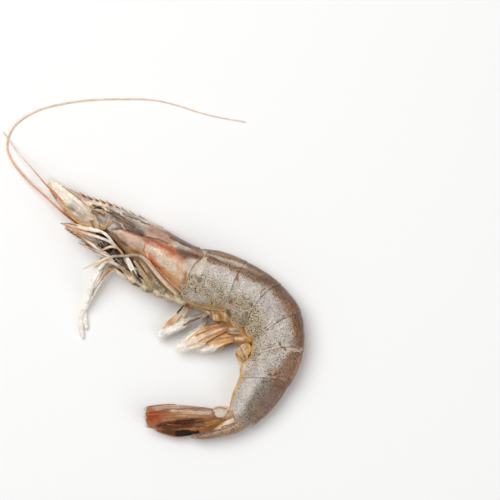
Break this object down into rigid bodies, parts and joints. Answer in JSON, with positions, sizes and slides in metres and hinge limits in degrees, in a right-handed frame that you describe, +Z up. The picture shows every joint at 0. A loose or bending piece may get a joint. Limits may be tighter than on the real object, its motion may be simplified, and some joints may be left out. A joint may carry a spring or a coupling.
{
  "type": "raw prawn",
  "caption": "Whole raw prawn with head and shell on, curled and lying on its side, with long whips, legs and a closed tail fan.",
  "frame": {"origin": "middle of the footprint's bounding box, on the surface that the prawn lies on", "axes": "+Z up, out of the prawn's left flank; the head points to -X and +Y, the back faces +X and +Y, the tail is at -Y"},
  "size_m": [0.1061, 0.1195, 0.0148],
  "materials": {
    "shell": "wet translucent shell, speckled grey-brown",
    "whip": "satin, red-orange at the base and pale at the tip"
  },
  "bodies": {
    "root": {"prawn": "shell", "antenna_left": "whip", "antenna_right": "whip"}
  },
  "joints": []
}
